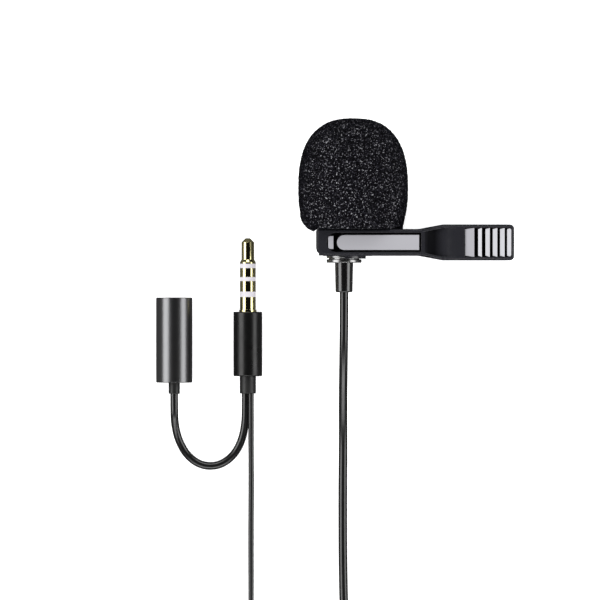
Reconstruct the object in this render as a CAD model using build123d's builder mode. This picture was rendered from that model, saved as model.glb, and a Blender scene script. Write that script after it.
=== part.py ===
from build123d import *
import math
import os

# Lavalier microphone on a tie clip, with a foam windscreen, a four-pole plug and a headphone
# socket on a pigtail. Lengths are millimetres.
#
# Everything lies flat on a surface at z = 0. The microphone's axis runs along +Y, the clip
# reaches out along +X with its front face up, and +Z is up. The origin is on the surface,
# under the middle of the microphone head with its clip and windscreen.

os.makedirs("parts", exist_ok=True)

# ---------------------------------------------------------------- driving dimensions
# Heights in this block run along a piece's own axis, which lies along Y. For the head they are
# measured from the clip's centre line, and so are the plug's and the socket's.

# Windscreen
FOAM_R = 12.17           # widest radius
FOAM_TOP = 27.43         # height of the crown
FOAM_MOUTH = 3.1         # height of the open end
FOAM_OFFSET = 2.0        # the foam sits this far off the microphone's axis
FOAM_BORE_R = 4.0
FOAM_BORE_TOP = 15.2

# Microphone barrel and what closes it
BARREL_R = 3.85
BARREL_BORE_R = 3.3
BARREL_FOOT = -2.98
BARREL_TOP = 10.6
GRILLE_TOP = 14.3
GRILLE_WALL = 0.45
NECK_FOOT = 9.3          # the grille cap's neck reaches down into the barrel
NECK_BORE_R = 3.05
MESH_GAP = 0.05
MESH_T = 0.13
FLANGE_FOOT = -4.45
FLANGE_GROOVE = (-3.68, -3.43)
FLANGE_GROOVE_R = 3.35
FLANGE_STUB_TOP = -0.8
RELIEF_END = -10.94
RELIEF_R = (1.885, 2.01)  # at its free end and at the flange
RELIEF_NECK_R = 1.55
RELIEF_COLLAR_R = 2.4
CORD_HOLE_R = 1.0

# Electret capsule
CAN_R = 3.0
CAN_FOOT = 6.9
CAN_TOP = 9.1
CAN_WALL = 0.2
CAN_PORT_R = 1.0

# Clip, in plan: X from the microphone's axis, half widths either side of the centre line
CLIP_LEFT = -6.16
CLIP_END = 37.3
ARM_HALF = 2.95
PAD_HALF = 3.95
ARM_END = 16.3           # the arm widens from here
PAD_START = 21.6         # to here
HOLDER_RIGHT = 6.2
RIM = 0.75               # black rim left around the dish and the grip
# Clip, in height above the microphone's axis
FACE = 6.5
BAR_BACK = 3.6
HOLDER_BACK = -5.6
RING_BORE_R = 3.9        # running clearance of 0.05 round the barrel
LIP_R = 4.8
LIP_T = 0.6
RECESS_DEPTH = 0.5
RECESS_HALF = 2.1
PANEL_HALF = 1.65
DISH = (17.0, 26.6)      # first and last X of the thumb dish
# The dish's floor runs down, up and level again: radius and turn in degrees of each of its arcs
DISH_ARCS = [(7.3, -15), (6.9, 34), (7.8, -16.5)]
GRIP_FLOOR = 5.7
GRIP_BARS = [(26.55, 28.55), (29.4, 30.2), (31.0, 31.95), (32.6, 33.6), (34.2, 35.2), (35.75, 36.65)]
# Pivot
PIN_X = 19.1
PIN_Z = -1.0
PIN_R = 0.7
PIN_FIT = 0.02           # press fit in the front lever's lugs
PIN_RUN = 0.05           # running fit in the rear lever's lugs
LUG_R = 1.7
FRONT_LUG = (2.05, 2.85)
REAR_LUG = (1.15, 1.95)
# Rear lever
JAW_FACE = -6.25
JAW_TEETH = 0.45
JAW_T = 1.3
REAR_BEND_X = 15.0
REAR_END_Z = -10.6       # top of the rear pad at its end
REAR_MARGIN = 0.1        # the rear lever is this much smaller than the front one in plan
# Torsion spring
SPRING_R = 1.3
SPRING_WIRE_R = 0.2
SPRING_START = 112       # degrees, where the upper arm leaves the coil
SPRING_TURNS = 3 + 120 / 360
SPRING_WIDTH = 1.36
SPRING_ARMS = (8.3, 9.6)  # to the front lever and to the rear lever

# Plug: heights of the contact bands' upper edges, from the tip down
PLUG_X = -21.2
PLUG_R = 1.75
TIP_R = 1.41
TIP_TOP = 1.01
TIP_WAIST = -3.74
TIP_SHOULDER = -4.27
BAND_EDGES = [-4.64, -5.59, -7.57, -8.45, -10.79, -11.97]
COLLAR_TOP = -14.8
COLLAR_R = 1.92
COLLAR_PLAY = 0.03       # round the collar, in the housing
HOUSING_TOP = -15.23
HOUSING_FOOT = -29.45
HOUSING_R = 3.18
HOUSING_BORE_R = 2.65
HOUSING_FRONT_T = 1.17
HOUSING_BACK_T = 1.05
PLUG_RELIEF_END = -33.28
PLUG_RELIEF_R = 1.785
PLUG_NECK_R = 1.28
TUBE_RADII = [0.45, 0.60, 0.78, 0.93, 1.11, 1.26]   # concentric tails inside the plug
TUBE_ENDS = [-20.2, -19.4, -19.0, -18.4, -18.0, -17.4]

# Socket
SOCKET_X = -37.44
SOCKET_R = 4.01
SOCKET_BORE_R = 1.8
SOCKET_TOP = -12.08
SOCKET_FOOT = -30.87
SHELL_BORE_R = 3.4
SOCKET_DEPTH = 16.3
MOUTH_SET = 0.12         # the mouth ring lies this far inside the shell's rim
MOUTH_T = 0.5
END_PLUG_T = 0.9
SOCKET_RELIEF_END = -33.33
SOCKET_RELIEF_R = 1.25
CONTACT_HEIGHTS = [-14.6, -18.6, -21.4, -24.6]      # where each spring contact reaches the bore

# Cords
MIC_CORD_D = 1.93
PLUG_CORD_D = 1.23
PIGTAIL_D = 1.74
LIFT = 0.05              # a cord on the surface clears it by this much
COIL_X = -11.13          # centre of the coil
COIL_Y = -114.5
COIL_MID_R = 10.9
COIL_COLUMNS = 5
COIL_LAYERS = 4
COIL_PITCH = 1.96        # between neighbouring turns of a layer
COIL_RISE = 1.76         # between layers, which nest
TIE_T = 0.5
TIE_W = 2.5
JOINT_X = -20.49
JOINT_Y = (-94.0, -84.0)
JOINT_R = 2.2
PLUG_LEAD_X = -20.49     # the two cords leave the plug side by side, the thin one above
PIGTAIL_X = -21.66

# ---------------------------------------------------------------- places
MIC_X = -(CLIP_END + FOAM_OFFSET - FOAM_R) / 2
CLIP_Y = -(FOAM_TOP + RELIEF_END) / 2
MIC_Z = FOAM_R + 0.03
PLUG_Z = HOUSING_R + 0.02
SOCKET_Z = SOCKET_R + 0.02
JOINT_Z = JOINT_R + 0.02
PLUG_LEAD_Z = PLUG_Z + 0.5
PIGTAIL_Z = PLUG_Z - 0.5

# Each plane has its own X across the object, Y along the piece's axis and Z up.
HEAD = Plane(origin=(MIC_X, CLIP_Y, MIC_Z))
FOAM = Plane(origin=(MIC_X + FOAM_OFFSET, CLIP_Y, MIC_Z))
PLUG = Plane(origin=(MIC_X + PLUG_X, CLIP_Y, PLUG_Z))
SOCKET = Plane(origin=(MIC_X + SOCKET_X, CLIP_Y, SOCKET_Z))
JOINT = Plane(origin=(MIC_X + JOINT_X, CLIP_Y, JOINT_Z))


def side(y):
    """The clip seen from below the microphone: X to the right, height up, at y from the centre line."""
    return Plane(origin=(MIC_X, CLIP_Y + y, MIC_Z), x_dir=(1, 0, 0), z_dir=(0, -1, 0))


def along(plane):
    """The axis of a piece that lies along Y."""
    return Axis(plane.origin, (0, 1, 0))


def across(plane, height):
    """A plane square to a piece's axis: X across, Y up, facing the piece's foot."""
    origin = plane.origin + Vector(0, height, 0)
    return Plane(origin=origin, x_dir=(1, 0, 0), z_dir=(0, -1, 0))


def finish(build, name):
    """Label a finished sub-part and write it."""
    build.part.label = name
    export_step(build.part, f"parts/{name}.step")


# ---------------------------------------------------------------- windscreen
with BuildPart() as foam_windscreen:
    with BuildSketch(FOAM):
        with BuildLine():
            crown = (0, FOAM_TOP)
            mouth = (10.6, FOAM_MOUTH)
            skin = Spline(mouth, (12.05, 8.5), (12.0, 15.5), (10.04, 22.6), (6.4, 26.1), crown,
                          tangents=((0.55, 1), (-1, 0)))
            Polyline(crown, (0, FOAM_MOUTH), mouth)
        make_face()
    revolve(axis=along(FOAM))
    with BuildSketch(across(HEAD, FOAM_BORE_TOP)):
        Circle(FOAM_BORE_R)
    extrude(amount=FOAM_BORE_TOP - FOAM_MOUTH, mode=Mode.SUBTRACT)
finish(foam_windscreen, "foam_windscreen")

# ---------------------------------------------------------------- microphone body
with BuildPart() as mic_barrel:
    with BuildSketch(across(HEAD, BARREL_TOP)):
        Circle(BARREL_R)
        Circle(BARREL_BORE_R, mode=Mode.SUBTRACT)
    extrude(amount=BARREL_TOP - BARREL_FOOT)
finish(mic_barrel, "mic_barrel")

with BuildPart() as grille_cap:
    with BuildSketch(HEAD):
        with BuildLine():
            Polyline(
                (NECK_BORE_R, NECK_FOOT), (BARREL_BORE_R, NECK_FOOT), (BARREL_BORE_R, BARREL_TOP),
                (BARREL_R, BARREL_TOP), (BARREL_R, GRILLE_TOP), (0, GRILLE_TOP),
                (0, GRILLE_TOP - GRILLE_WALL), (BARREL_R - GRILLE_WALL, GRILLE_TOP - GRILLE_WALL),
                (BARREL_R - GRILLE_WALL, BARREL_TOP + 0.3), (NECK_BORE_R, BARREL_TOP + 0.3),
                close=True,
            )
        make_face()
    revolve(axis=along(HEAD))
    fillet(grille_cap.edges().filter_by(GeomType.CIRCLE).group_by(Axis.Y)[-1].sort_by(SortBy.RADIUS)[-1], 0.4)
    with BuildSketch(across(HEAD, GRILLE_TOP)):
        Circle(0.3)
        for ring in (1, 2, 3):
            with PolarLocations(0.95 * ring, 6 * ring):
                Circle(0.3)
    extrude(amount=2 * GRILLE_WALL, both=True, mode=Mode.SUBTRACT)
    for turn in range(8):
        slot_plane = across(HEAD, BARREL_TOP + 1.9).rotated((0, 0, turn * 45 + 22.5))
        slot_axis = Plane(origin=slot_plane.origin, x_dir=(0, 1, 0), z_dir=slot_plane.x_dir)
        with BuildSketch(slot_axis):
            SlotOverall(2.0, 0.9)
        extrude(amount=BARREL_R + 1, mode=Mode.SUBTRACT)
finish(grille_cap, "grille_cap")

with BuildPart() as grille_mesh:
    mesh_r = BARREL_R - GRILLE_WALL - MESH_GAP
    mesh_top = GRILLE_TOP - GRILLE_WALL - MESH_GAP
    mesh_foot = BARREL_TOP + 0.35
    with BuildSketch(HEAD):
        with BuildLine():
            Polyline(
                (mesh_r, mesh_foot), (mesh_r, mesh_top), (0, mesh_top), (0, mesh_top - MESH_T),
                (mesh_r - MESH_T, mesh_top - MESH_T), (mesh_r - MESH_T, mesh_foot), close=True,
            )
        make_face()
    revolve(axis=along(HEAD))
finish(grille_mesh, "grille_mesh")

with BuildPart() as end_cap:
    with BuildSketch(HEAD):
        with BuildLine():
            Polyline(
                (RELIEF_NECK_R, FLANGE_FOOT), (BARREL_R, FLANGE_FOOT), (BARREL_R, FLANGE_GROOVE[0]),
                (FLANGE_GROOVE_R, FLANGE_GROOVE[0]), (FLANGE_GROOVE_R, FLANGE_GROOVE[1]),
                (BARREL_R, FLANGE_GROOVE[1]), (BARREL_R, BARREL_FOOT), (BARREL_BORE_R, BARREL_FOOT),
                (BARREL_BORE_R, FLANGE_STUB_TOP), (RELIEF_NECK_R, FLANGE_STUB_TOP), close=True,
            )
        make_face()
    revolve(axis=along(HEAD))
    disc_edges = end_cap.edges().filter_by(GeomType.CIRCLE)
    disc_rims = [e for e in disc_edges if abs(e.radius - BARREL_R) < 0.01
                 and e.center().Y < CLIP_Y + BARREL_FOOT - 0.1]
    fillet(disc_rims, 0.16)
finish(end_cap, "end_cap")

with BuildPart() as strain_relief:
    with BuildSketch(HEAD):
        with BuildLine():
            Polyline(
                (CORD_HOLE_R, RELIEF_END), (RELIEF_R[0], RELIEF_END), (RELIEF_R[1], FLANGE_FOOT),
                (RELIEF_NECK_R, FLANGE_FOOT), (RELIEF_NECK_R, FLANGE_STUB_TOP),
                (RELIEF_COLLAR_R, FLANGE_STUB_TOP), (RELIEF_COLLAR_R, 0), (CORD_HOLE_R, 0), close=True,
            )
        make_face()
    revolve(axis=along(HEAD))
    relief_rim = strain_relief.edges().group_by(Axis.Y)[0].sort_by(SortBy.RADIUS)[-1]
    fillet(relief_rim, 0.3)
finish(strain_relief, "strain_relief")

# ---------------------------------------------------------------- capsule and wiring
with BuildPart() as capsule_can:
    with BuildSketch(HEAD):
        with BuildLine():
            Polyline(
                (CAN_R - CAN_WALL, CAN_FOOT), (CAN_R, CAN_FOOT), (CAN_R, CAN_TOP), (CAN_PORT_R, CAN_TOP),
                (CAN_PORT_R, CAN_TOP - CAN_WALL), (CAN_R - CAN_WALL, CAN_TOP - CAN_WALL), close=True,
            )
        make_face()
    revolve(axis=along(HEAD))
finish(capsule_can, "capsule_can")

with BuildPart() as capsule_felt:
    with BuildSketch(across(HEAD, CAN_TOP + 0.3)):
        Circle(CAN_R - 0.15)
    extrude(amount=0.3)
finish(capsule_felt, "capsule_felt")

with BuildPart() as capsule_diaphragm:
    with BuildSketch(across(HEAD, CAN_TOP - CAN_WALL)):
        Circle(CAN_R - CAN_WALL - 0.03)
        Circle(CAN_R - CAN_WALL - 0.5, mode=Mode.SUBTRACT)
    extrude(amount=0.2)
    with BuildSketch(across(HEAD, CAN_TOP - CAN_WALL - 0.1)):
        Circle(CAN_R - CAN_WALL - 0.5)
    extrude(amount=0.1)
finish(capsule_diaphragm, "capsule_diaphragm")

with BuildPart() as capsule_backplate:
    with BuildSketch(across(HEAD, CAN_TOP - CAN_WALL - 0.25)):
        Circle(CAN_R - CAN_WALL - 0.05)
        with PolarLocations(1.5, 6):
            Circle(0.25, mode=Mode.SUBTRACT)
    extrude(amount=0.25)
finish(capsule_backplate, "capsule_backplate")

with BuildPart() as capsule_board:
    with BuildSketch(across(HEAD, CAN_FOOT + 0.4)):
        Circle(CAN_R - CAN_WALL - 0.02)
    extrude(amount=0.4)
finish(capsule_board, "capsule_board")

with BuildPart() as capsule_transistor:
    with BuildSketch(across(HEAD, CAN_FOOT + 1.1)):
        Rectangle(1.6, 1.2)
    extrude(amount=0.7)
    fillet(capsule_transistor.edges().filter_by(Axis.Y), 0.15)
finish(capsule_transistor, "capsule_transistor")

with BuildPart() as capsule_boot:
    with BuildSketch(across(HEAD, CAN_TOP)):
        Circle(BARREL_BORE_R - 0.02)
        Circle(CAN_R + 0.02, mode=Mode.SUBTRACT)
    extrude(amount=CAN_TOP - CAN_FOOT + 0.6)
    with BuildSketch(across(HEAD, CAN_FOOT - 0.1)):
        Circle(BARREL_BORE_R - 0.02)
        Circle(CAN_R - 0.5, mode=Mode.SUBTRACT)
    extrude(amount=0.5)
finish(capsule_boot, "capsule_boot")

SOLDER_TOP = CAN_FOOT
SOLDER_H = 0.45
WIRE_SPREAD = 1.1
with BuildPart() as solder_joints:
    with BuildSketch(across(HEAD, SOLDER_TOP)):
        with Locations((-WIRE_SPREAD, 0), (WIRE_SPREAD, 0)):
            Circle(0.5)
    extrude(amount=SOLDER_H, taper=25)
finish(solder_joints, "solder_joints")

CORD_END_TOP = 1.4
WIRE_R = 0.22
with BuildPart() as inner_wires:
    for hand in (-1, 1):
        wire_top = SOLDER_TOP - SOLDER_H
        with BuildLine(HEAD) as wire_path:
            FilletPolyline(
                (hand * WIRE_SPREAD, wire_top), (hand * WIRE_SPREAD, wire_top - 1.2),
                (hand * 0.4, CORD_END_TOP + 1.4), (hand * 0.4, CORD_END_TOP),
                radius=1.2,
            )
        with BuildSketch(Plane(wire_path.line @ 0, z_dir=wire_path.line % 0)):
            Circle(WIRE_R)
        sweep(path=wire_path.line)
finish(inner_wires, "inner_wires")

with BuildPart() as cord_end:
    with BuildSketch(across(HEAD, CORD_END_TOP)):
        Circle(MIC_CORD_D / 2)
    extrude(amount=CORD_END_TOP - RELIEF_END)
finish(cord_end, "cord_end")

with BuildPart() as cord_crimp:
    with BuildSketch(across(HEAD, 1.1)):
        Circle(1.5)
        Circle(MIC_CORD_D / 2 + 0.02, mode=Mode.SUBTRACT)
    extrude(amount=1.1)
finish(cord_crimp, "cord_crimp")


# ---------------------------------------------------------------- clip
def plan(left, end, arm_half, pad_half, corner, nose):
    """Half-width outline of a lever seen from its face: a straight arm that widens into a pad."""
    points = [
        (left, arm_half), (left, -arm_half + nose), (left + nose, -arm_half), (ARM_END, -arm_half),
        (PAD_START, -pad_half), (end, -pad_half), (end, pad_half), (PAD_START, pad_half),
        (ARM_END, arm_half),
    ]
    return points, [0.6, 0.8, 0.8, 4, 4, corner, corner, 4, 4]


with BuildPart() as dish_cutter:
    with BuildSketch(HEAD.offset(BAR_BACK)):
        with BuildLine():
            Polyline(
                (DISH[0], -ARM_HALF + RIM), (PAD_START, -PAD_HALF + RIM), (DISH[1], -PAD_HALF + RIM),
                (DISH[1], PAD_HALF - RIM), (PAD_START, PAD_HALF - RIM), (DISH[0], ARM_HALF - RIM),
                close=True,
            )
        make_face()
    extrude(amount=FACE)
    with BuildSketch(side(PAD_HALF)):
        with BuildLine():
            floor_end = (DISH[0], FACE)
            heading = -2
            for arc_radius, turn in DISH_ARCS:
                slope = math.radians(heading)
                floor_end = JernArc(floor_end, (math.cos(slope), math.sin(slope)), arc_radius, turn) @ 1
                heading += turn
            Polyline(floor_end, (DISH[1], FACE + 1), (DISH[0], FACE + 1), (DISH[0], FACE))
        make_face()
    extrude(amount=2 * PAD_HALF, mode=Mode.INTERSECT)

with BuildSketch() as well:
    with BuildLine():
        FilletPolyline(
            (DISH[1] - 0.15, -PAD_HALF + RIM), (CLIP_END - 0.55, -PAD_HALF + RIM),
            (CLIP_END - 0.55, PAD_HALF - RIM), (DISH[1] - 0.15, PAD_HALF - RIM),
            radius=[0, 0.8, 0.8, 0], close=True,
        )
    make_face()

with BuildPart() as front_lever:
    with BuildSketch(HEAD.offset(BAR_BACK)):
        with BuildLine():
            lever_points, lever_radii = plan(CLIP_LEFT, CLIP_END, ARM_HALF, PAD_HALF, 0.95, 1.5)
            FilletPolyline(*lever_points, radius=lever_radii, close=True)
        make_face()
    extrude(amount=FACE - BAR_BACK)
    chamfer(front_lever.faces().sort_by(Axis.Z)[-1].edges(), 0.4)
    # Holder block round the microphone
    with BuildSketch(HEAD.offset(HOLDER_BACK)):
        with BuildLine():
            FilletPolyline(
                (CLIP_LEFT, ARM_HALF), (CLIP_LEFT, -ARM_HALF + 1.5), (CLIP_LEFT + 1.5, -ARM_HALF),
                (HOLDER_RIGHT, -ARM_HALF), (HOLDER_RIGHT, ARM_HALF),
                radius=[0.6, 0.8, 0.8, 0, 0], close=True,
            )
        make_face()
    extrude(amount=BAR_BACK - HOLDER_BACK)
    holder_foot = front_lever.faces().sort_by(Axis.Z)[0]
    fillet(holder_foot.edges().filter_by(Axis.Y), 1.2)
    # Lip that stands out below the holder's right half, beside the flange
    with BuildSketch(across(HEAD, -ARM_HALF)):
        Circle(LIP_R)
        with Locations((-LIP_R, 0)):
            Rectangle(2 * LIP_R, 2 * LIP_R, mode=Mode.SUBTRACT)
    extrude(amount=LIP_T)
    # Lugs for the pivot pin
    for lug_y in (FRONT_LUG[1], -FRONT_LUG[0]):
        with BuildSketch(side(lug_y)):
            Polygon(
                (PIN_X - 3, BAR_BACK + 0.2), (PIN_X + 3, BAR_BACK + 0.2),
                (PIN_X + LUG_R, PIN_Z), (PIN_X - LUG_R, PIN_Z), align=None,
            )
            with Locations((PIN_X, PIN_Z)):
                Circle(LUG_R)
        extrude(amount=FRONT_LUG[1] - FRONT_LUG[0])
    # Bore for the microphone, and the lip's larger bore behind the flange
    with BuildSketch(across(HEAD, ARM_HALF + 1)):
        Circle(RING_BORE_R)
    extrude(amount=2 * ARM_HALF + 1.1, mode=Mode.SUBTRACT)
    with BuildSketch(across(HEAD, -ARM_HALF)):
        Circle(BARREL_R + 0.15)
    extrude(amount=1, mode=Mode.SUBTRACT)
    # Pin hole through both lugs
    with BuildSketch(side(PAD_HALF)):
        with Locations((PIN_X, PIN_Z)):
            Circle(PIN_R + PIN_FIT)
    extrude(amount=2 * PAD_HALF, mode=Mode.SUBTRACT)
    # Channel in the face for the panel, with a round left end
    with BuildSketch(HEAD.offset(FACE - RECESS_DEPTH)):
        with BuildLine():
            FilletPolyline(
                (16.9, -RECESS_HALF), (16.9, RECESS_HALF), (-3.85, RECESS_HALF), (-3.85, -RECESS_HALF),
                radius=[0, 0, RECESS_HALF - 0.05, RECESS_HALF - 0.05], close=True,
            )
        make_face()
    extrude(amount=1, mode=Mode.SUBTRACT)
    # Thumb dish
    add(dish_cutter.part, mode=Mode.SUBTRACT)
    # Well for the grip bars
    with BuildSketch(HEAD.offset(GRIP_FLOOR)):
        add(well.sketch)
    extrude(amount=1, mode=Mode.SUBTRACT)
finish(front_lever, "front_lever")

with BuildPart() as front_panel:
    with BuildSketch(HEAD.offset(FACE - RECESS_DEPTH)):
        with BuildLine():
            FilletPolyline(
                (16.45, -PANEL_HALF), (16.45, PANEL_HALF), (-1.58, PANEL_HALF), (-1.58, -PANEL_HALF),
                radius=[0, 0, PANEL_HALF - 0.03, PANEL_HALF - 0.03], close=True,
            )
        make_face()
    extrude(amount=RECESS_DEPTH)
    chamfer(front_panel.faces().sort_by(Axis.Z)[-1].edges(), 0.1)
finish(front_panel, "front_panel")

with BuildPart() as ring_inlay:
    with BuildSketch(HEAD.offset(FACE - RECESS_DEPTH)):
        with BuildLine():
            FilletPolyline(
                (-2.35, -1.42), (-2.35, 1.42), (-3.5, 1.42), (-3.5, -1.42),
                radius=[0, 0, 0.45, 0.45], close=True,
            )
        make_face()
    extrude(amount=RECESS_DEPTH - 0.05)
    chamfer(ring_inlay.faces().sort_by(Axis.Z)[-1].edges(), 0.08)
finish(ring_inlay, "ring_inlay")

with BuildPart() as grip_bars:
    for first, last in GRIP_BARS:
        # Each bar is a ramp that rises towards the free end and grows wider with it.
        with BuildSketch(HEAD.offset(GRIP_FLOOR)):
            Polygon((first, -2.92), (last, -3.16), (last, 3.16), (first, 2.92), align=None)
        extrude(amount=FACE - GRIP_FLOOR)
    with BuildSketch(HEAD.offset(GRIP_FLOOR)):
        add(well.sketch)
    extrude(amount=FACE - GRIP_FLOOR, mode=Mode.INTERSECT)
    for first, last in GRIP_BARS:
        with BuildSketch(side(PAD_HALF)):
            Polygon((first, FACE - 0.3), (last, FACE), (last, FACE + 1), (first, FACE + 1), align=None)
        extrude(amount=2 * PAD_HALF, mode=Mode.SUBTRACT)
finish(grip_bars, "grip_bars")

PAD_SLOPE = math.atan2(JAW_FACE - REAR_END_Z, CLIP_END - REAR_BEND_X)
REAR_HALF = ARM_HALF - REAR_MARGIN
with BuildPart() as rear_lever:
    jaw_tip = CLIP_LEFT + REAR_MARGIN
    pad_end = CLIP_END - REAR_MARGIN
    with BuildSketch(side(PAD_HALF)):
        with BuildLine():
            FilletPolyline(
                (jaw_tip, JAW_FACE), (REAR_BEND_X, JAW_FACE), (pad_end, REAR_END_Z),
                (pad_end, REAR_END_Z - JAW_T - 0.2), (REAR_BEND_X, JAW_FACE - JAW_T),
                (jaw_tip, JAW_FACE - JAW_T),
                radius=[0, 6, 0.3, 0.5, 7, 0], close=True,
            )
        make_face()
    extrude(amount=2 * PAD_HALF)
    # Plan outline
    with BuildSketch(HEAD.offset(-MIC_Z)):
        with BuildLine():
            rear_points, rear_radii = plan(
                jaw_tip, pad_end, REAR_HALF, PAD_HALF - REAR_MARGIN, 0.95, 1.0
            )
            FilletPolyline(*rear_points, radius=rear_radii, close=True)
        make_face()
    extrude(amount=MIC_Z, mode=Mode.INTERSECT)
    # Teeth that face the holder
    for tooth in range(9):
        root = jaw_tip + 0.5 + tooth * 1.1
        with BuildSketch(side(REAR_HALF)):
            Polygon(
                (root, JAW_FACE - 0.1), (root + 0.9, JAW_FACE - 0.1), (root + 0.2, JAW_FACE + JAW_TEETH),
                align=None,
            )
        extrude(amount=2 * REAR_HALF)
    # Lugs that stand up inside the front lever's
    for lug_y in (REAR_LUG[1], -REAR_LUG[0]):
        with BuildSketch(side(lug_y)):
            Polygon(
                (PIN_X - LUG_R, PIN_Z), (PIN_X + LUG_R, PIN_Z), (PIN_X + 3.2, JAW_FACE - 1.9),
                (PIN_X - 3.2, JAW_FACE - 0.6), align=None,
            )
            with Locations((PIN_X, PIN_Z)):
                Circle(LUG_R)
        extrude(amount=REAR_LUG[1] - REAR_LUG[0])
    with BuildSketch(side(PAD_HALF)):
        with Locations((PIN_X, PIN_Z)):
            Circle(PIN_R + PIN_RUN)
    extrude(amount=2 * PAD_HALF, mode=Mode.SUBTRACT)
    # Grip grooves across the outer face of the pad
    for groove in range(6):
        run = 13.0 + groove * 1.55
        groove_x = REAR_BEND_X + run * math.cos(PAD_SLOPE)
        groove_z = JAW_FACE - JAW_T - 0.1 - run * math.sin(PAD_SLOPE)
        with BuildSketch(side(PAD_HALF - RIM)):
            with Locations((groove_x, groove_z)):
                Rectangle(0.7, 0.8, rotation=-math.degrees(PAD_SLOPE))
        extrude(amount=2 * (PAD_HALF - RIM), mode=Mode.SUBTRACT)
finish(rear_lever, "rear_lever")

with BuildPart() as pivot_pin:
    with BuildSketch(side(FRONT_LUG[1])):
        with Locations((PIN_X, PIN_Z)):
            Circle(PIN_R)
    extrude(amount=2 * FRONT_LUG[1])
    for head_y in (FRONT_LUG[1] + 0.35, -FRONT_LUG[1]):
        with BuildSketch(side(head_y)):
            with Locations((PIN_X, PIN_Z)):
                Circle(1.1)
        extrude(amount=0.35)
    fillet(pivot_pin.edges().group_by(Axis.Y)[0], 0.2)
    fillet(pivot_pin.edges().group_by(Axis.Y)[-1], 0.2)
finish(pivot_pin, "pivot_pin")

spring_start = math.radians(SPRING_START)
spring_plane = Plane(
    origin=(MIC_X + PIN_X, CLIP_Y + SPRING_WIDTH / 2, MIC_Z + PIN_Z),
    x_dir=(math.cos(spring_start), 0, math.sin(spring_start)), z_dir=(0, -1, 0),
)
helix = spring_plane * Edge.make_helix(SPRING_WIDTH / SPRING_TURNS, SPRING_WIDTH, SPRING_R)
upper_arm = Edge.make_line(helix @ 0 - (helix % 0) * SPRING_ARMS[0], helix @ 0)
lower_arm = Edge.make_line(helix @ 1, helix @ 1 + (helix % 1) * SPRING_ARMS[1])
with BuildPart() as torsion_spring:
    with BuildSketch(Plane(helix @ 0, z_dir=helix % 0)):
        Circle(SPRING_WIRE_R)
    sweep(path=helix, is_frenet=True)
    with BuildSketch(Plane(upper_arm @ 0, z_dir=upper_arm % 0)):
        Circle(SPRING_WIRE_R)
    sweep(path=upper_arm)
    with BuildSketch(Plane(lower_arm @ 0, z_dir=lower_arm % 0)):
        Circle(SPRING_WIRE_R)
    sweep(path=lower_arm)
finish(torsion_spring, "torsion_spring")

# ---------------------------------------------------------------- plug
with BuildPart() as plug_tip:
    with BuildSketch(PLUG):
        with BuildLine():
            Polyline(
                (0, TIP_TOP), (0.5, TIP_TOP), (TIP_R, TIP_TOP - 0.9), (TIP_R, TIP_WAIST),
                (PLUG_R, TIP_SHOULDER), (PLUG_R, BAND_EDGES[0]), (TUBE_RADII[0], BAND_EDGES[0]),
                (TUBE_RADII[0], TUBE_ENDS[0]), (0, TUBE_ENDS[0]), close=True,
            )
        make_face()
    revolve(axis=along(PLUG))
    crown_edges = plug_tip.edges().filter_by(GeomType.CIRCLE).group_by(Axis.Y)[-1]
    fillet(crown_edges, 0.25)
finish(plug_tip, "plug_tip")

# From the tip down: insulator, ring, insulator, ring, insulator. Each is a band at the surface
# with a thin tube inside that carries it back into the housing.
band_names = ["plug_insulator_1", "plug_ring_1", "plug_insulator_2", "plug_ring_2", "plug_insulator_3"]
for number, band_name in enumerate(band_names):
    with BuildPart() as band:
        inner = TUBE_RADII[number]
        outer = TUBE_RADII[number + 1]
        with BuildSketch(PLUG):
            with BuildLine():
                Polyline(
                    (inner, BAND_EDGES[number]), (PLUG_R, BAND_EDGES[number]),
                    (PLUG_R, BAND_EDGES[number + 1]), (outer, BAND_EDGES[number + 1]),
                    (outer, TUBE_ENDS[number + 1]), (inner, TUBE_ENDS[number + 1]), close=True,
                )
            make_face()
        revolve(axis=along(PLUG))
    finish(band, band_name)

SLEEVE_FLANGE = HOUSING_TOP - HOUSING_FRONT_T
with BuildPart() as plug_sleeve:
    with BuildSketch(PLUG):
        with BuildLine():
            Polyline(
                (TUBE_RADII[5], BAND_EDGES[5]), (PLUG_R, BAND_EDGES[5]), (PLUG_R, COLLAR_TOP),
                (COLLAR_R, COLLAR_TOP), (COLLAR_R, SLEEVE_FLANGE), (HOUSING_BORE_R - 0.05, SLEEVE_FLANGE),
                (HOUSING_BORE_R - 0.05, SLEEVE_FLANGE - 0.6), (TUBE_RADII[5], SLEEVE_FLANGE - 0.6),
                close=True,
            )
        make_face()
    revolve(axis=along(PLUG))
finish(plug_sleeve, "plug_sleeve")

with BuildPart() as plug_housing:
    with BuildSketch(PLUG):
        with BuildLine():
            Polyline(
                (COLLAR_R + COLLAR_PLAY, HOUSING_TOP), (HOUSING_R, HOUSING_TOP), (HOUSING_R, HOUSING_FOOT),
                (PLUG_NECK_R, HOUSING_FOOT), (PLUG_NECK_R, HOUSING_FOOT + HOUSING_BACK_T),
                (HOUSING_BORE_R, HOUSING_FOOT + HOUSING_BACK_T), (HOUSING_BORE_R, SLEEVE_FLANGE),
                (COLLAR_R + COLLAR_PLAY, SLEEVE_FLANGE), close=True,
            )
        make_face()
    revolve(axis=along(PLUG))
    housing_rims = [e for e in plug_housing.edges().filter_by(GeomType.CIRCLE)
                    if abs(e.radius - HOUSING_R) < 0.01]
    fillet(housing_rims, 0.25)
finish(plug_housing, "plug_housing")

CORE_TOP = TUBE_ENDS[0] - 0.3
with BuildPart() as plug_core:
    with BuildSketch(across(PLUG, CORE_TOP)):
        Circle(HOUSING_BORE_R - 0.03)
    extrude(amount=CORE_TOP - HOUSING_FOOT - HOUSING_BACK_T)
finish(plug_core, "plug_core")

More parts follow.
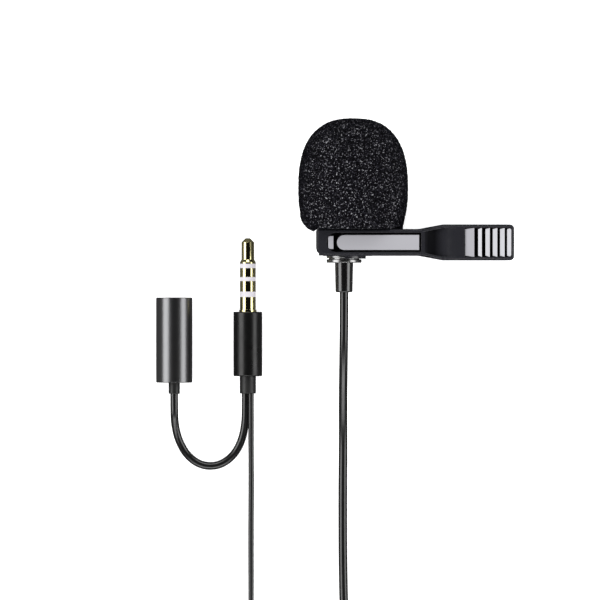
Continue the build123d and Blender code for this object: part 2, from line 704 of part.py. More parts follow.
with BuildPart() as plug_wires:
    # One wire to each contact's tail, at the height where that tail is bare
    for turn, wire_top in enumerate((TUBE_ENDS[1], TUBE_ENDS[3], TUBE_ENDS[5], SLEEVE_FLANGE - 0.6)):
        with BuildSketch(across(PLUG, wire_top)):
            with PolarLocations(1.6, 1, start_angle=45 + 90 * turn):
                Circle(0.25)
        extrude(amount=wire_top - CORE_TOP)
finish(plug_wires, "plug_wires")

with BuildPart() as plug_strain_relief:
    with BuildSketch(PLUG):
        with BuildLine():
            Polyline(
                (0, PLUG_RELIEF_END), (PLUG_RELIEF_R, PLUG_RELIEF_END), (PLUG_RELIEF_R, HOUSING_FOOT),
                (PLUG_NECK_R, HOUSING_FOOT), (PLUG_NECK_R, HOUSING_FOOT + HOUSING_BACK_T),
                (0, HOUSING_FOOT + HOUSING_BACK_T), close=True,
            )
        make_face()
    revolve(axis=along(PLUG))
    fillet(plug_strain_relief.edges().group_by(Axis.Y)[0], 0.2)
finish(plug_strain_relief, "plug_strain_relief")

# ---------------------------------------------------------------- socket
with BuildPart() as socket_shell:
    with BuildSketch(across(SOCKET, SOCKET_TOP)):
        Circle(SOCKET_R)
        Circle(SHELL_BORE_R, mode=Mode.SUBTRACT)
    extrude(amount=SOCKET_TOP - SOCKET_FOOT)
    shell_rims = [e for e in socket_shell.edges().filter_by(GeomType.CIRCLE)
                  if abs(e.radius - SOCKET_R) < 0.01]
    chamfer(shell_rims, 0.15)
finish(socket_shell, "socket_shell")

MOUTH_TOP = SOCKET_TOP - MOUTH_SET
INSERT_TOP = MOUTH_TOP - MOUTH_T
INSERT_FOOT = MOUTH_TOP - SOCKET_DEPTH - 0.5
with BuildPart() as socket_mouth_ring:
    with BuildSketch(across(SOCKET, MOUTH_TOP)):
        Circle(SHELL_BORE_R - 0.02)
        Circle(SOCKET_BORE_R, mode=Mode.SUBTRACT)
    extrude(amount=MOUTH_T)
finish(socket_mouth_ring, "socket_mouth_ring")

with BuildPart() as socket_insert:
    with BuildSketch(across(SOCKET, INSERT_TOP)):
        Circle(SHELL_BORE_R - 0.02)
    extrude(amount=INSERT_TOP - INSERT_FOOT)
    with BuildSketch(across(SOCKET, INSERT_TOP)):
        Circle(SOCKET_BORE_R)
    extrude(amount=SOCKET_DEPTH - MOUTH_T, mode=Mode.SUBTRACT)
    # A channel for each contact outside the bore, with a window where it touches the plug
    for turn, height in enumerate(CONTACT_HEIGHTS):
        with BuildSketch(across(SOCKET, height + 0.8)):
            with PolarLocations(2.62, 1, start_angle=90 * turn):
                Rectangle(0.7, 1.0)
        extrude(amount=height + 0.8 - INSERT_FOOT, mode=Mode.SUBTRACT)
        with BuildSketch(across(SOCKET, height + 0.7)):
            with PolarLocations(2.0, 1, start_angle=90 * turn):
                Rectangle(0.9, 1.0)
        extrude(amount=1.4, mode=Mode.SUBTRACT)
finish(socket_insert, "socket_insert")

with BuildPart() as socket_contacts:
    for turn, height in enumerate(CONTACT_HEIGHTS):
        leaf = across(SOCKET, height)
        turn_rad = math.radians(90 * turn)
        outward = leaf.x_dir * math.cos(turn_rad) + leaf.y_dir * math.sin(turn_rad)
        edgeways = leaf.x_dir * -math.sin(turn_rad) + leaf.y_dir * math.cos(turn_rad)
        leaf_side = Plane(
            origin=SOCKET.origin + Vector(0, height, 0) - edgeways * 0.4,
            x_dir=outward, z_dir=edgeways,
        )
        # Local Y of this plane runs along the socket, towards its mouth or its foot
        sense = 1 if leaf_side.y_dir.Y > 0 else -1
        tail = INSERT_FOOT - 0.7 - height
        with BuildSketch(leaf_side):
            Polygon(
                (2.55, sense * 0.6), (2.75, sense * 0.6), (2.1, 0), (2.75, sense * -0.6),
                (2.75, sense * tail), (2.55, sense * tail), (2.55, sense * -0.55), (1.87, 0), align=None,
            )
        extrude(amount=0.8)
finish(socket_contacts, "socket_contacts")

with BuildPart() as socket_end_plug:
    with BuildSketch(across(SOCKET, SOCKET_FOOT + END_PLUG_T)):
        Circle(SHELL_BORE_R - 0.02)
        Circle(1.0, mode=Mode.SUBTRACT)
    extrude(amount=END_PLUG_T)
finish(socket_end_plug, "socket_end_plug")

with BuildPart() as socket_strain_relief:
    with BuildSketch(SOCKET):
        with BuildLine():
            Polyline(
                (0, SOCKET_RELIEF_END), (SOCKET_RELIEF_R, SOCKET_RELIEF_END), (SOCKET_RELIEF_R, SOCKET_FOOT),
                (0.98, SOCKET_FOOT), (0.98, SOCKET_FOOT + END_PLUG_T), (0, SOCKET_FOOT + END_PLUG_T),
                close=True,
            )
        make_face()
    revolve(axis=along(SOCKET))
    fillet(socket_strain_relief.edges().group_by(Axis.Y)[0], 0.15)
finish(socket_strain_relief, "socket_strain_relief")


# ---------------------------------------------------------------- cords
def bends(points):
    """The radius of each bend: 0.45 of the shorter run over the tangent of half the turn."""
    radii = []
    for before, corner, after in zip(points, points[1:], points[2:]):
        run_in = Vector(*corner) - Vector(*before)
        run_out = Vector(*after) - Vector(*corner)
        half_turn = math.radians(run_in.get_angle(run_out)) / 2
        radii.append(0.45 * min(run_in.length, run_out.length) / math.tan(half_turn))
    return radii


def tube(points, diameter, name):
    """A cord's tube along straight runs joined by tangent arcs, with its least radius printed."""
    radii = bends(points)
    with BuildPart() as cord:
        with BuildLine() as path:
            FilletPolyline(*points, radius=radii)
        with BuildSketch(Plane(path.line @ 0, z_dir=path.line % 0)):
            Circle(diameter / 2)
        sweep(path=path.line)
    length = path.wire().length
    section = math.pi * diameter**2 / 4
    rounded = ", ".join(f"{radius:.1f}" for radius in radii)
    print(f"{name}: length {length:.1f}, volume over section {cord.part.volume / section:.1f}, radii {rounded}")
    finish(cord, name)


def placed(points):
    """Route points given from the microphone's axis and the clip's centre line, in the object's frame."""
    return [(MIC_X + x, CLIP_Y + y, z) for x, y, z in points]


FLOOR_MIC = MIC_CORD_D / 2 + LIFT
FLOOR_PLUG = PLUG_CORD_D / 2 + LIFT
FLOOR_PIG = PIGTAIL_D / 2 + LIFT
COIL_OUTER_R = COIL_MID_R + (COIL_COLUMNS - 1) / 2 * COIL_PITCH
COIL_TOP_Z = TIE_T + MIC_CORD_D / 2 + (COIL_LAYERS - 1) * COIL_RISE

mic_route = placed([
    (0, RELIEF_END, MIC_Z), (0, -17.4, MIC_Z), (-0.1, -25.5, 10.0), (-0.2, -34.5, 5.9),
    (-0.15, -44.0, 2.4), (-0.25, -55.0, FLOOR_MIC), (-0.2, -74.0, FLOOR_MIC),
    (0.3, -88.0, FLOOR_MIC), (2.5, -101.6, FLOOR_MIC + 0.2),
    (COIL_X + COIL_OUTER_R, COIL_Y, TIE_T + MIC_CORD_D / 2),
])
tube(mic_route, MIC_CORD_D, "mic_lead")

tail_route = placed([
    (COIL_X - COIL_OUTER_R, COIL_Y, COIL_TOP_Z), (COIL_X - COIL_OUTER_R + 0.2, COIL_Y + 5.5, COIL_TOP_Z - 0.8),
    (-24.0, -103.6, 3.8), (JOINT_X, -98.4, JOINT_Z), (JOINT_X, JOINT_Y[0], JOINT_Z),
])
tube(tail_route, MIC_CORD_D, "lead_tail")

lead_route = placed([
    (JOINT_X, JOINT_Y[1], JOINT_Z), (JOINT_X, -80.6, JOINT_Z), (-20.5, -74.0, 1.1),
    (-20.52, -63.0, FLOOR_PLUG), (-20.45, -54.0, 0.8), (-20.48, -46.5, 1.9),
    (PLUG_LEAD_X, -38.5, PLUG_LEAD_Z), (PLUG_LEAD_X, PLUG_RELIEF_END, PLUG_LEAD_Z),
])
tube(lead_route, PLUG_CORD_D, "plug_lead")

pigtail_route = placed([
    (PIGTAIL_X, PLUG_RELIEF_END, PIGTAIL_Z), (PIGTAIL_X, -36.6, PIGTAIL_Z), (-21.8, -40.2, 1.9),
    (-22.6, -43.9, 1.1), (-24.45, -47.15, FLOOR_PIG), (-27.6, -49.3, FLOOR_PIG),
    (-31.4, -49.3, FLOOR_PIG), (-34.6, -47.1, 0.95), (-36.5, -43.7, 1.3), (-37.35, -40.1, 2.6),
    (SOCKET_X, -36.6, SOCKET_Z), (SOCKET_X, SOCKET_RELIEF_END, SOCKET_Z),
])
tube(pigtail_route, PIGTAIL_D, "pigtail")

with BuildPart() as cable_coil:
    coil_inner = COIL_MID_R - (COIL_COLUMNS - 1) / 2 * COIL_PITCH - MIC_CORD_D / 2
    coil_outer = COIL_OUTER_R + MIC_CORD_D / 2
    coil_height = (COIL_LAYERS - 1) * COIL_RISE + MIC_CORD_D
    coil_plane = Plane(origin=(MIC_X + COIL_X, CLIP_Y + COIL_Y, TIE_T), x_dir=(1, 0, 0), z_dir=(0, -1, 0))
    with BuildSketch(coil_plane):
        with Locations(((coil_inner + coil_outer) / 2, coil_height / 2)):
            RectangleRounded(coil_outer - coil_inner, coil_height, MIC_CORD_D / 2 - 0.01)
    revolve(axis=Axis(coil_plane.origin, (0, 0, 1)))
finish(cable_coil, "cable_coil")

TIE_GAP = 0.25
with BuildPart() as coil_tie:
    tie_plane = Plane(
        origin=(MIC_X + COIL_X + TIE_W / 2, CLIP_Y + COIL_Y, 0), x_dir=(0, -1, 0), z_dir=(-1, 0, 0)
    )
    with BuildSketch(tie_plane):
        with BuildLine():
            FilletPolyline(
                (coil_inner - TIE_GAP - TIE_T, 0), (coil_outer + TIE_GAP + TIE_T, 0),
                (coil_outer + TIE_GAP + TIE_T, coil_height + 2 * TIE_T + TIE_GAP),
                (coil_inner - TIE_GAP - TIE_T, coil_height + 2 * TIE_T + TIE_GAP),
                radius=1.2, close=True,
            )
        make_face()
        with BuildLine():
            FilletPolyline(
                (coil_inner - TIE_GAP, TIE_T), (coil_outer + TIE_GAP, TIE_T),
                (coil_outer + TIE_GAP, coil_height + TIE_T + TIE_GAP),
                (coil_inner - TIE_GAP, coil_height + TIE_T + TIE_GAP),
                radius=0.75, close=True,
            )
        make_face(mode=Mode.SUBTRACT)
    extrude(amount=TIE_W)
finish(coil_tie, "coil_tie")

with BuildPart() as inline_joint:
    middle = (JOINT_Y[0] + JOINT_Y[1]) / 2
    with BuildSketch(JOINT):
        with BuildLine():
            Polyline(
                (0, JOINT_Y[0]), (1.35, JOINT_Y[0]), (JOINT_R, middle - 2.8), (JOINT_R, middle + 2.8),
                (1.0, JOINT_Y[1]), (0, JOINT_Y[1]), close=True,
            )
        make_face()
    revolve(axis=along(JOINT))
    joint_rims = [e for e in inline_joint.edges().filter_by(GeomType.CIRCLE)
                  if abs(e.radius - JOINT_R) < 0.01]
    fillet(joint_rims, 0.6)
finish(inline_joint, "inline_joint")
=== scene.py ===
import math

import bmesh
import bpy
import numpy as np
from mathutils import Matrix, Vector


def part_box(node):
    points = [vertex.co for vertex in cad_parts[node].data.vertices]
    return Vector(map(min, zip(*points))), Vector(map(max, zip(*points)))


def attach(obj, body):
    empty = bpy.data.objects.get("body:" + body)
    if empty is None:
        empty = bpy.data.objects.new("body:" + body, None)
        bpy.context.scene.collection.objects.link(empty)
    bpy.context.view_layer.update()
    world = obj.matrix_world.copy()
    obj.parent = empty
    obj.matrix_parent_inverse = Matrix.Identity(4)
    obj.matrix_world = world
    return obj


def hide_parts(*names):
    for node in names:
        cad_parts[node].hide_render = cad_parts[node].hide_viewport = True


# A lavalier microphone on a tie clip, lying on a pale table: its foam windscreen, cords, coil
# strap and materials, built round the CAD frame. Metres throughout, with MM for small sizes.

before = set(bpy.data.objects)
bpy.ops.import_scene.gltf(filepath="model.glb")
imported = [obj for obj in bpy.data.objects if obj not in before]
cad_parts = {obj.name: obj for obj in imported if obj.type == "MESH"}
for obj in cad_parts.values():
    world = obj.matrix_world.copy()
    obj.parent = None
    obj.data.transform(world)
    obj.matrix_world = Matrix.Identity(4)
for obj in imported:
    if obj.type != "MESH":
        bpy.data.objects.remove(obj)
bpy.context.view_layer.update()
MM = 0.001

# ---------------------------------------------------------------- places, from the frame
barrel_low, barrel_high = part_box("mic_barrel")
lever_low, lever_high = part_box("front_lever")
MIC_X = (barrel_low.x + barrel_high.x) / 2
MIC_Z = (barrel_low.z + barrel_high.z) / 2
CLIP_Y = (lever_low.y + lever_high.y) / 2      # the clip's centre line


def placed(x, y, z):
    """A point given in mm from the microphone's axis, the clip's centre line and the floor."""
    return Vector((MIC_X + x * MM, CLIP_Y + y * MM, z * MM))


def put(obj, body):
    """Link a new object and let it ride on a body."""
    bpy.context.scene.collection.objects.link(obj)
    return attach(obj, body)


# ---------------------------------------------------------------- camera
VIEW_CENTRE = (-9.685, -12.635)     # mm from the microphone's axis and the clip's centre line
VIEW_WIDTH = 132.07 * MM
VIEW_DISTANCE = 2.5
VIEW_PLANE = 10.0                   # mm above the floor, where the view is that wide


def make_camera():
    data = bpy.data.cameras.new("camera")
    data.sensor_width = 36
    data.lens = data.sensor_width * VIEW_DISTANCE / VIEW_WIDTH
    data.clip_start = 0.1
    data.clip_end = 20
    camera = bpy.data.objects.new("camera", data)
    camera.location = placed(*VIEW_CENTRE, VIEW_PLANE) + Vector((0, 0, VIEW_DISTANCE))
    bpy.context.scene.collection.objects.link(camera)
    bpy.context.scene.camera = camera


# ---------------------------------------------------------------- materials
def surface(name, colour, roughness, metallic=0.0, **sockets):
    """A material with a Principled shader. Further sockets are given by name, with _ for a space."""
    made = bpy.data.materials.new(name)
    made.use_nodes = True
    shader = made.node_tree.nodes["Principled BSDF"]
    shader.inputs["Base Color"].default_value = (*colour, 1)
    shader.inputs["Roughness"].default_value = roughness
    shader.inputs["Metallic"].default_value = metallic
    for socket, value in sockets.items():
        shader.inputs[socket.replace("_", " ")].default_value = value
    return made


def texture(made, kind, scale, stretch=(1, 1, 1), **settings):
    """A texture node in the part's own coordinates. scale is in repeats per metre."""
    nodes, links = made.node_tree.nodes, made.node_tree.links
    place = nodes.new("ShaderNodeTexCoord")
    mapping = nodes.new("ShaderNodeMapping")
    mapping.inputs["Scale"].default_value = stretch
    links.new(place.outputs["Object"], mapping.inputs["Vector"])
    pattern = nodes.new(kind)
    pattern.inputs["Scale"].default_value = scale
    for socket, value in settings.items():
        pattern.inputs[socket.replace("_", " ")].default_value = value
    links.new(mapping.outputs["Vector"], pattern.inputs["Vector"])
    return pattern


def ranged(made, value, first, last, low, high):
    """A value that runs from low to high while another runs from first to last."""
    span = made.node_tree.nodes.new("ShaderNodeMapRange")
    for name, number in (("From Min", first), ("From Max", last), ("To Min", low), ("To Max", high)):
        span.inputs[name].default_value = number
    made.node_tree.links.new(value, span.inputs["Value"])
    return span.outputs["Result"]


def spread(made, value, low, high, socket, first=0.3, last=0.7):
    """Drive a number socket of the shader from low to high by a texture's value."""
    span = ranged(made, value, first, last, low, high)
    made.node_tree.links.new(span, made.node_tree.nodes["Principled BSDF"].inputs[socket])


def shades(made, value, stops):
    """Colour the surface by a texture's value, with stops of (position, colour)."""
    nodes, links = made.node_tree.nodes, made.node_tree.links
    scale = nodes.new("ShaderNodeValToRGB")
    elements = scale.color_ramp.elements
    while len(elements) < len(stops):
        elements.new(0.5)
    for element, (position, colour) in zip(elements, stops):
        element.position = position
        element.color = (*colour, 1)
    links.new(value, scale.inputs["Fac"])
    links.new(scale.outputs["Color"], nodes["Principled BSDF"].inputs["Base Color"])


def calculated(made, operation, *values):
    """The value of a math node, from other values and numbers."""
    step = made.node_tree.nodes.new("ShaderNodeMath")
    step.operation = operation
    for socket, value in zip(step.inputs, values):
        if isinstance(value, (int, float)):
            socket.default_value = value
        else:
            made.node_tree.links.new(value, socket)
    return step.outputs["Value"]


def places(made):
    """The X, Y and Z of a place in the part's own coordinates."""
    nodes, links = made.node_tree.nodes, made.node_tree.links
    place = nodes.new("ShaderNodeTexCoord")
    split = nodes.new("ShaderNodeSeparateXYZ")
    links.new(place.outputs["Object"], split.inputs["Vector"])
    return split.outputs


def inside(made, centre, reach):
    """A value that is 1 inside a box in the part's own coordinates, and 0 outside it."""
    x, y, z = (calculated(made, "COMPARE", *side) for side in zip(places(made), centre, reach))
    return calculated(made, "MULTIPLY", calculated(made, "MULTIPLY", x, y), z)


def relief(made, value, height, edge=0.0):
    """Bump from a texture's value, height metres deep, over edges rounded to a radius of edge."""
    nodes, links = made.node_tree.nodes, made.node_tree.links
    bump = nodes.new("ShaderNodeBump")
    bump.inputs["Strength"].default_value = 1.0
    bump.inputs["Distance"].default_value = height
    links.new(value, bump.inputs["Height"])
    if edge:
        rounded = nodes.new("ShaderNodeBevel")
        rounded.samples = 4
        rounded.inputs["Radius"].default_value = edge
        links.new(rounded.outputs["Normal"], bump.inputs["Normal"])
    links.new(bump.outputs["Normal"], nodes["Principled BSDF"].inputs["Normal"])


METAL_EDGE = 0.05 * MM      # how much metal edges are rounded


def moulded(name, colour, roughness, grain=0.004 * MM, edge=0.06 * MM, **sockets):
    """Moulded plastic or rubber, with a fine grain and slightly uneven gloss."""
    made = surface(name, colour, roughness, **sockets)
    fine = texture(made, "ShaderNodeTexNoise", 6000, Detail=3)
    broad = texture(made, "ShaderNodeTexNoise", 420, Detail=2)
    spread(made, broad.outputs["Fac"], roughness * 0.85, roughness * 1.2, "Roughness")
    relief(made, fine.outputs["Fac"], grain, edge=edge)
    return made


def turned(name, colour, roughness, grain=0.0015 * MM):
    """Turned metal, with very fine rings round an axis along Y."""
    made = surface(name, colour, roughness, metallic=1.0)
    rings = texture(made, "ShaderNodeTexNoise", 2500, stretch=(0.02, 6, 0.02), Detail=4)
    spread(made, rings.outputs["Fac"], roughness * 0.93, roughness * 1.07, "Roughness")
    relief(made, rings.outputs["Fac"], grain, edge=METAL_EDGE)
    return made


def brushed(name, colour, roughness, stretch, metallic):
    """Metal with long fine scratches, drawn out along the axis where stretch is small."""
    made = surface(name, colour, roughness, metallic)
    lines = texture(made, "ShaderNodeTexNoise", 3000, stretch=stretch, Detail=5)
    spread(made, lines.outputs["Fac"], roughness * 0.8, roughness * 1.25, "Roughness")
    relief(made, lines.outputs["Fac"], 0.002 * MM, edge=METAL_EDGE)
    return made


# Places on the front lever's face, each as a middle and a reach in mm. Shade is painted in the channel, the
# grip well and the dish.
CHANNEL = ((6.55, 0, 18.18), (10.42, 2.16, 0.38))
GRIP_WELL = ((31.6, 0, 18.18), (5.2, 3.26, 0.38))
DISH = ((21.7, 0, 18.1), (4.7, 3.22, 0.54))
# The wide bar, whose painted reflection is as dim as the panel's
WIDE_BAR = ((27.55, 0, 18.2), (1.1, 4.0, 1.0))
# Painted shadow: the dish's floor is painted darkest here, fading out 2.6 mm away
DISH_SHADE_MIDDLE = 19.2           # mm along the clip, where the dish's floor slopes down
CLIP_BLACK = (0.012, 0.012, 0.015)
# The black of the painted shade in the lever's recesses
PAINTED_SHADE_BLACK = (0.0005, 0.0005, 0.0005)
# Painted reflections: light greys standing in for the softbox mirrored in the clip's glossy black panel and
# ribs
PAINTED_PANEL_REFLECTION = (0.335, 0.33, 0.352)
PAINTED_BAR_REFLECTION = (0.43, 0.43, 0.45)


def within(made, middle, reach):
    """A value that is 1 at one of those places, and 0 elsewhere."""
    return inside(made, placed(*middle), [size * MM for size in reach])


def make_clip_front():
    """The front lever's black, with painted shade: its channel and grip well are darkened and matt, and a
    painted shadow darkens the dish's floor and dulls its gloss.
    """
    clip = moulded("clip_gloss", CLIP_BLACK, 0.22, grain=0.002 * MM, edge=0.14 * MM)
    channel, well, dish = (within(clip, *place) for place in (CHANNEL, GRIP_WELL, DISH))
    # Painted shadow down the dish's floor, darkest where it slopes down
    past_shade_middle = calculated(clip, "SUBTRACT", places(clip)[0], MIC_X + DISH_SHADE_MIDDLE * MM)
    from_shade_middle = calculated(clip, "ABSOLUTE", past_shade_middle)
    painted_dish_shade = calculated(clip, "MULTIPLY", dish, ranged(clip, from_shade_middle, 0.7 * MM, 2.6 * MM, 0.8, 0.0))
    # Painted shade: the channel, grip well and dish are darkened towards black and lose their gloss
    painted_shade = calculated(clip, "ADD", calculated(clip, "ADD", channel, well), painted_dish_shade)
    shades(clip, painted_shade, [(0, CLIP_BLACK), (1, PAINTED_SHADE_BLACK)])
    spread(clip, painted_shade, 0.8, 0.02, "Specular IOR Level", first=0, last=1)
    return clip


def make_materials():
    """The material of every CAD node. The foam's node is hidden, and takes none."""
    clip = make_clip_front()
    lever = moulded("clip_back", CLIP_BLACK, 0.24, grain=0.002 * MM, edge=0.09 * MM, Specular_IOR_Level=0.8)
    # Painted reflection: the panel and ring inlay are light grey for the softbox mirrored in the clip's
    # glossy black face
    panel_reflection = brushed("silver_panel", PAINTED_PANEL_REFLECTION, 0.42, (0.05, 3, 1), metallic=0.25)
    # Painted reflection: the ribs are light grey for the softbox mirrored in their glossy black slopes, and
    # the wide bar beside the dish is painted as dim as the panel
    bars = brushed("painted_reflection_bars", PAINTED_BAR_REFLECTION, 0.38, (1, 0.05, 1), metallic=0.25)
    shades(bars, within(bars, *WIDE_BAR), [(0, PAINTED_BAR_REFLECTION), (1, PAINTED_PANEL_REFLECTION)])
    gold = turned("gold", (0.84, 0.76, 0.4), 0.1, grain=0.001 * MM)
    gunmetal = turned("gunmetal", (0.21, 0.21, 0.215), 0.3)
    housing = moulded("housing_black", (0.002, 0.002, 0.002), 0.3, Specular_IOR_Level=0.5)
    sleeve = moulded("sleeve_gloss", (0.003, 0.003, 0.003), 0.2, Specular_IOR_Level=1.0, Coat_Weight=0.6,
                     Coat_Roughness=0.12)
    rubber = moulded("black_rubber", (0.007, 0.007, 0.007), 0.42, grain=0.008 * MM)
    jacket = moulded("cord_black", (0.005, 0.005, 0.005), 0.2, grain=0.006 * MM, edge=0,
                     Specular_IOR_Level=0.8)
    chrome = turned("dark_chrome", (0.34, 0.34, 0.34), 0.26)
    barrel = turned("black_metal", (0.05, 0.05, 0.053), 0.33)
    steel = turned("pin_steel", (0.55, 0.55, 0.56), 0.28)
    white = moulded("white_plastic", (0.47, 0.445, 0.48), 0.4)
    plastic = moulded("black_plastic", (0.02, 0.02, 0.02), 0.45)
    capsule = turned("capsule_metal", (0.72, 0.72, 0.74), 0.25)
    board = moulded("board_green", (0.03, 0.2, 0.08), 0.35)
    solder = surface("solder", (0.7, 0.7, 0.7), 0.3, metallic=1.0)
    lumps = texture(solder, "ShaderNodeTexNoise", 1500)
    relief(solder, lumps.outputs["Fac"], 0.03 * MM)
    wire = moulded("wire_red", (0.45, 0.04, 0.03), 0.35)
    felt = surface("felt", (0.04, 0.04, 0.04), 0.95, Sheen_Weight=0.4)
    fibres = texture(felt, "ShaderNodeTexNoise", 5000, Detail=6)
    relief(felt, fibres.outputs["Fac"], 0.06 * MM)
    woven = surface("steel_mesh", (0.5, 0.5, 0.51), 0.35, metallic=1.0)
    cells = texture(woven, "ShaderNodeTexVoronoi", 6000)
    shades(woven, cells.outputs["Distance"], [(0.1, (0.02, 0.02, 0.02)), (0.5, (0.6, 0.6, 0.61))])
    relief(woven, cells.outputs["Distance"], 0.05 * MM)
    return {
        "foam_windscreen": None, "mic_barrel": barrel, "grille_cap": barrel, "grille_mesh": woven,
        "end_cap": chrome, "strain_relief": sleeve, "capsule_can": capsule, "capsule_felt": felt,
        "capsule_diaphragm": capsule, "capsule_backplate": capsule, "capsule_board": board,
        "capsule_transistor": plastic, "capsule_boot": rubber, "solder_joints": solder,
        "inner_wires": wire, "cord_end": jacket, "cord_crimp": solder, "front_lever": clip,
        "front_panel": panel_reflection, "ring_inlay": panel_reflection, "grip_bars": bars, "rear_lever": lever,
        "pivot_pin": steel, "torsion_spring": steel, "plug_tip": gold, "plug_ring_1": gold,
        "plug_ring_2": gold, "plug_sleeve": gold, "plug_insulator_1": white, "plug_insulator_2": white,
        "plug_insulator_3": white, "plug_wires": wire, "plug_core": plastic, "plug_housing": housing,
        "plug_strain_relief": rubber, "socket_shell": gunmetal, "socket_mouth_ring": plastic,
        "socket_insert": plastic, "socket_contacts": gold, "socket_end_plug": plastic,
        "socket_strain_relief": rubber, "inline_joint": rubber, "coil_tie": rubber, "mic_lead": jacket,
        "cable_coil": jacket, "lead_tail": jacket, "plug_lead": jacket, "pigtail": jacket,
    }


SHARP = math.radians(32)


def dress_frame(materials):
    """Give each CAD node its material, and smooth shading between its sharp edges."""
    for name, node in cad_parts.items():
        node.data.materials.clear()
        if materials[name]:
            node.data.materials.append(materials[name])
        node.data.polygons.foreach_set("use_smooth", [True] * len(node.data.polygons))
        node.data.set_sharp_from_angle(angle=SHARP)


# ---------------------------------------------------------------- cords
MIC_CORD_D = 1.93
PLUG_CORD_D = 1.23
PIGTAIL_D = 1.74
LIFT = 0.05                       # how far a cord on the floor stays above it
FLOOR_MIC = MIC_CORD_D / 2 + LIFT
FLOOR_PLUG = PLUG_CORD_D / 2 + LIFT
FLOOR_PIG = PIGTAIL_D / 2 + LIFT
# The coil, as its CAD solid is laid out
COIL_X, COIL_Y = -11.13, -114.5
COIL_MID_R = 10.9
COIL_COLUMNS = 5
COIL_LAYERS = 4
COIL_PITCH = 1.96
COIL_RISE = 1.76
COIL_NEST = 0.4                  # odd layers lie this much further out, even ones further in
COIL_TURN_POINTS = 16
COIL_JOG = 0.2                   # the share of a turn in which the cord crosses to the next
COIL_FOOT = 0.5 + MIC_CORD_D / 2
COIL_OUTER_R = COIL_MID_R + (COIL_COLUMNS - 1) / 2 * COIL_PITCH
COIL_TOP = COIL_FOOT + (COIL_LAYERS - 1) * COIL_RISE
COIL_TURNS = COIL_COLUMNS * COIL_LAYERS - 0.5


def turn_place(turn):
    """Radius and height of a turn of the coil, whose layers run inwards and outwards by turns."""
    layer, step = divmod(turn, COIL_COLUMNS)
    inwards = layer % 2 == 0
    column = step if inwards else COIL_COLUMNS - 1 - step
    nest = -COIL_NEST if inwards else COIL_NEST
    return COIL_OUTER_R + nest - column * COIL_PITCH, COIL_FOOT + layer * COIL_RISE


def coil_points():
    """Clockwise from the right side, seen from above, through every turn, to the left side."""
    cut = math.cos(math.pi / COIL_TURN_POINTS)      # how far the spline cuts inside its points
    points = []
    for number in range(1, int(COIL_TURNS * COIL_TURN_POINTS)):
        turn, step = divmod(number, COIL_TURN_POINTS)
        radius, height = turn_place(turn)
        jog = max(0.0, (step / COIL_TURN_POINTS - 1 + COIL_JOG) / COIL_JOG)
        next_radius, next_height = turn_place(min(turn + 1, COIL_COLUMNS * COIL_LAYERS - 1))
        radius += (next_radius - radius) * jog
        height += (next_height - height) * jog
        angle = -2 * math.pi * step / COIL_TURN_POINTS
        across, along = radius / cut * math.cos(angle), radius / cut * math.sin(angle)
        points.append((COIL_X + across, COIL_Y + along, height))
    return points


# The routes of the cords, in mm from the microphone's axis, the clip's centre line and the floor
JOINT_X, JOINT_Z = -20.49, 2.22
MIC_ROUTE = [
    (0, -10.94, MIC_Z / MM), (0, -17.4, MIC_Z / MM), (-0.1, -25.5, 10.0), (-0.2, -34.5, 5.9),
    (-0.15, -44.0, 2.4), (-0.25, -55.0, FLOOR_MIC), (-0.2, -74.0, FLOOR_MIC),
    (0.3, -88.0, FLOOR_MIC), (2.5, -101.6, FLOOR_MIC + 0.2), (COIL_X + COIL_OUTER_R, COIL_Y, COIL_FOOT),
]
TAIL_ROUTE = [
    (COIL_X - COIL_OUTER_R, COIL_Y, COIL_TOP), (COIL_X - COIL_OUTER_R + 0.2, COIL_Y + 5.5, COIL_TOP - 0.8),
    (-24.0, -103.6, 3.8), (JOINT_X, -98.4, JOINT_Z), (JOINT_X, -94.0, JOINT_Z),
]
LEAD_ROUTE = [
    (JOINT_X, -84.0, JOINT_Z), (JOINT_X, -80.6, JOINT_Z), (-20.5, -74.0, 1.1), (-20.52, -63.0, FLOOR_PLUG),
    (-20.45, -54.0, 0.8), (-20.48, -46.5, 1.9), (-20.49, -38.5, 3.7), (-20.49, -33.28, 3.7),
]
PIGTAIL_ROUTE = [
    (-21.66, -33.28, 2.7), (-21.66, -36.6, 2.7), (-21.8, -40.2, 1.9), (-22.6, -43.9, 1.1),
    (-24.45, -47.15, FLOOR_PIG), (-27.6, -49.3, FLOOR_PIG), (-31.4, -49.3, FLOOR_PIG), (-34.6, -47.1, 0.95),
    (-36.5, -43.7, 1.3), (-37.35, -40.1, 2.6), (-37.44, -36.6, 4.03), (-37.44, -33.33, 4.03),
]


def cord(name, route, diameter, material):
    """A round cord on one smooth curve, with route as its control points."""
    data = bpy.data.curves.new(name, "CURVE")
    data.dimensions = "3D"
    spline = data.splines.new("NURBS")
    spline.points.add(len(route) - 1)
    for point, place in zip(spline.points, route):
        point.co = (*placed(*place), 1)
    spline.order_u = 3
    spline.use_endpoint_u = True
    spline.resolution_u = 6
    data.bevel_depth = diameter / 2 * MM
    data.bevel_resolution = 5
    data.use_fill_caps = True
    data.materials.append(material)
    obj = put(bpy.data.objects.new(name, data), "microphone")
    return obj


def make_cords(material):
    mic = cord("mic_cord", MIC_ROUTE + coil_points() + TAIL_ROUTE, MIC_CORD_D, material)
    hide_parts("mic_lead", "cable_coil", "lead_tail")
    lead = cord("plug_cord", LEAD_ROUTE, PLUG_CORD_D, material)
    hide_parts("plug_lead")
    tail = cord("pigtail_cord", PIGTAIL_ROUTE, PIGTAIL_D, material)
    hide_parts("pigtail")


# ---------------------------------------------------------------- strap round the coil
STRAP_T = 0.5
STRAP_W = 2.5
STRAP_GAP = 0.12                 # between the strap and the coil
STRAP_CORNER = 1.1
STRAP_STEP = 15                  # degrees between its points in a corner
STRAP_OVERLAP = 7.0              # how far its end lies over its start
STRAP_RISE = 1.2                 # the length in which it climbs onto its start
STRAP_PLY_GAP = 0.03             # between its two plies


